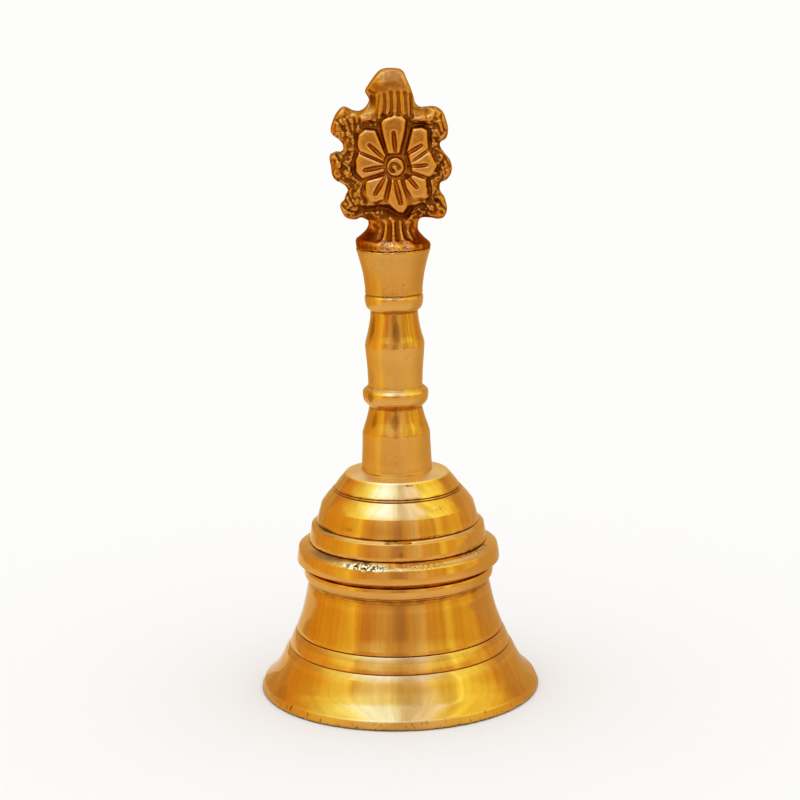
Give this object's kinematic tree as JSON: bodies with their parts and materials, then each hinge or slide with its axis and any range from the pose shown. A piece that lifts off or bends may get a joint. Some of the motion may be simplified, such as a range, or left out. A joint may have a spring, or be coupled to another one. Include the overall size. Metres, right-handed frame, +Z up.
{
  "type": "hand bell",
  "caption": "Brass hand bell with a flared turned shell, a turned handle, a cast flower finial and a hanging clapper; it is rung by swinging it by the handle.",
  "frame": {"origin": "centre of the mouth, on the plane the lip stands on", "axes": "+Z up along the bell's axis, -Y towards the front face of the flower, X across the flower"},
  "size_m": [0.0766, 0.0766, 0.1687],
  "materials": {
    "bell_brass": "turned and polished brass, fine circumferential brushing, small casting pits",
    "handle_brass": "turned and polished brass",
    "finial_brass": "rough cast brass, dark patina in the recesses, raised faces rubbed bright",
    "fitting_steel": "plain steel, threaded",
    "wire_brass": "drawn brass wire, tarnished",
    "clapper_brass": "turned brass, worn bright where it strikes"
  },
  "bodies": {
    "bell": {"bell_shell": "bell_brass", "handle_grip": "handle_brass", "flower_finial": "finial_brass", "finial_stud": "fitting_steel", "eye_bolt": "fitting_steel", "crown_washer": "fitting_steel", "crown_nut": "fitting_steel"},
    "link": {"clapper_link": "wire_brass"},
    "clapper": {"clapper_rod": "wire_brass", "clapper_ball": "clapper_brass"}
  },
  "joints": [
    {"name": "link_swing", "type": "hinge", "parent": "bell", "child": "link", "pos_m": [0, 0, 0.0402], "axis": [1, 0, 0], "range_deg": [-12, 12]},
    {"name": "clapper_swing", "type": "hinge", "parent": "link", "child": "clapper", "pos_m": [0, 0, 0.0338], "axis": [0, 1, 0], "range_deg": [-42, 42]}
  ]
}
